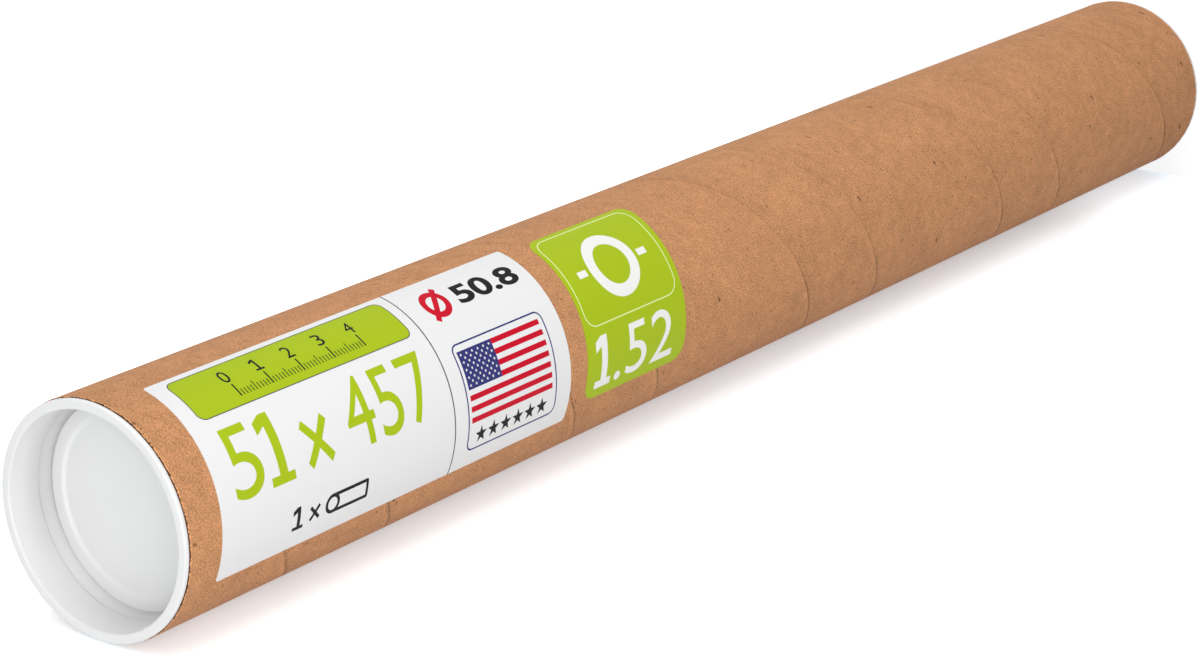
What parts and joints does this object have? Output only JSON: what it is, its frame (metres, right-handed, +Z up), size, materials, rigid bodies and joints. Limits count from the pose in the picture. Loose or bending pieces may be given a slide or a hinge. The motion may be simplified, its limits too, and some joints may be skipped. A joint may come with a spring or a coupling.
{
  "type": "cardboard mailing tube",
  "caption": "Spiral-wound kraft paper mailing tube with a white plastic plug cap pushed into each end and paper labels on its side.",
  "frame": {"origin": "centre of the lower cap's face, on the surface that the tube stands on", "axes": "+Z up along the tube's axis; the middle of both labels faces -Y"},
  "size_m": [0.0538, 0.0539, 0.4598],
  "materials": {
    "kraft_paper": "matte kraft paper",
    "cap_plastic": "smooth moulded polyethylene",
    "white_label": "smooth coated label paper",
    "green_label": "smooth coated label paper"
  },
  "bodies": {
    "lower_cap": {"bottom_cap": "cap_plastic"},
    "tube": {"paper_tube": "kraft_paper", "size_label": "white_label", "wall_label": "green_label"},
    "upper_cap": {"top_cap": "cap_plastic"}
  },
  "joints": [
    {"name": "lower_cap_pull", "type": "slide", "parent": "lower_cap", "child": "tube", "axis": [0, 0, 1], "range_m": [0, 0.06]},
    {"name": "upper_cap_pull", "type": "slide", "parent": "tube", "child": "upper_cap", "axis": [0, 0, 1], "range_m": [0, 0.06]}
  ]
}
